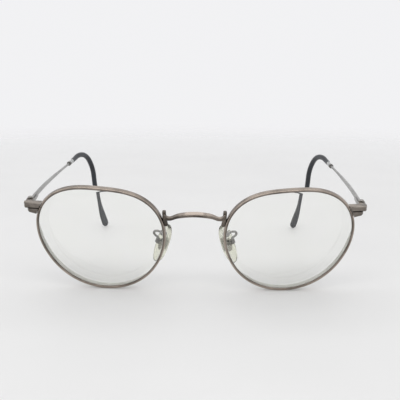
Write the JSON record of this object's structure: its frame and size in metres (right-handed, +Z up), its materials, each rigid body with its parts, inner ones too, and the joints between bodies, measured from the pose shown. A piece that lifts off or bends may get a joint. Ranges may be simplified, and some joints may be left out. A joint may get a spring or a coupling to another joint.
{
  "type": "eyeglasses",
  "caption": "Round full-rim metal eyeglasses, temples open: grooved rims with closing blocks, clear lenses, arched bridge, adjustable nose pads and folding temples with plastic tips.",
  "frame": {"origin": "on the resting plane, under the middle of the bounding box", "axes": "+Z up; -Y the way the wearer looks; +X towards the wearer's left temple"},
  "size_m": [0.1288, 0.1342, 0.0431],
  "materials": {
    "gunmetal": "antique satin plating",
    "temple_metal": "satin nickel silver",
    "screw_steel": "turned",
    "tip_plastic": "polished acetate",
    "collar": "translucent",
    "pad_silicone": "translucent silicone",
    "lens_plastic": "polished clear lens"
  },
  "bodies": {
    "front": {"bridge": "gunmetal", "rim_left": "gunmetal", "lens_left": "lens_plastic", "bridge_post_left": "gunmetal", "end_piece_left": "gunmetal", "rim_lock_left": "gunmetal", "rim_lock_screw_left": "screw_steel", "hinge_front_left": "gunmetal", "hinge_screw_left": "screw_steel", "pad_arm_left": "temple_metal", "pad_box_left": "temple_metal", "pad_screw_left": "screw_steel", "rim_right": "gunmetal", "lens_right": "lens_plastic", "bridge_post_right": "gunmetal", "end_piece_right": "gunmetal", "rim_lock_right": "gunmetal", "rim_lock_screw_right": "screw_steel", "hinge_front_right": "gunmetal", "hinge_screw_right": "screw_steel", "pad_arm_right": "temple_metal", "pad_box_right": "temple_metal", "pad_screw_right": "screw_steel"},
    "temple_left": {"temple_left": "temple_metal", "hinge_rear_left": "temple_metal", "tip_ring_left": "screw_steel", "tip_collar_left": "collar", "temple_tip_left": "tip_plastic"},
    "pad_left": {"nose_pad_left": "pad_silicone", "pad_insert_left": "screw_steel"},
    "temple_right": {"temple_right": "temple_metal", "hinge_rear_right": "temple_metal", "tip_ring_right": "screw_steel", "tip_collar_right": "collar", "temple_tip_right": "tip_plastic"},
    "pad_right": {"nose_pad_right": "pad_silicone", "pad_insert_right": "screw_steel"}
  },
  "joints": [
    {"name": "temple_fold_left", "type": "hinge", "parent": "front", "child": "temple_left", "pos_m": [0.06323, -0.05491, 0.03491], "axis": [0, -0.1738, 0.9848], "range_deg": [0, 82]},
    {"name": "temple_fold_right", "type": "hinge", "parent": "front", "child": "temple_right", "pos_m": [-0.06323, -0.05491, 0.03491], "axis": [0, 0.1738, -0.9848], "range_deg": [0, 76]},
    {"name": "pad_rock_left", "type": "hinge", "parent": "front", "child": "pad_left", "pos_m": [0.01362, -0.05159, 0.01955], "axis": [-0.4166, -0.8933, -0.1686], "range_deg": [-10, 10]},
    {"name": "pad_rock_right", "type": "hinge", "parent": "front", "child": "pad_right", "pos_m": [-0.01362, -0.05159, 0.01955], "axis": [0.4166, -0.8933, -0.1686], "range_deg": [-10, 10]}
  ]
}
